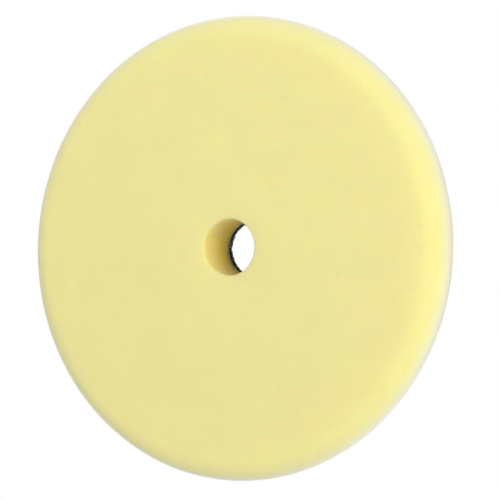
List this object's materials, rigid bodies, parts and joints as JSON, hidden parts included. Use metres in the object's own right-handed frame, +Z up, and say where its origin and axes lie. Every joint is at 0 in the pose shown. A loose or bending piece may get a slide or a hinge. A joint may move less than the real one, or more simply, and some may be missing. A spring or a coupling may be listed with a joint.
{
  "type": "foam polishing pad",
  "caption": "Round foam pad with a flat working face, rounded shoulder, drawn-in side, punched centre hole and a hook-and-loop back for a machine polisher.",
  "frame": {"origin": "centre of the loop face, where the pad's axis leaves its back", "axes": "+Y along the pad's axis, out of the loop face; the working face looks towards -Y; +Z up with the pad on edge, as in the picture"},
  "size_m": [0.165, 0.0207, 0.165],
  "materials": {
    "foam": "open-cell polyurethane foam, skived flat and finely porous, matte",
    "hot_melt_film": "translucent hot-melt adhesive film, pressed into the foam's cells",
    "loop_cloth": "warp-knitted nylon ground cloth, near black",
    "loop_pile": "brushed nylon loops, near black"
  },
  "bodies": {
    "root": {"foam_disc": "foam", "bond_film": "hot_melt_film", "loop_ground": "loop_cloth", "loop_pile": "loop_pile"}
  },
  "joints": []
}
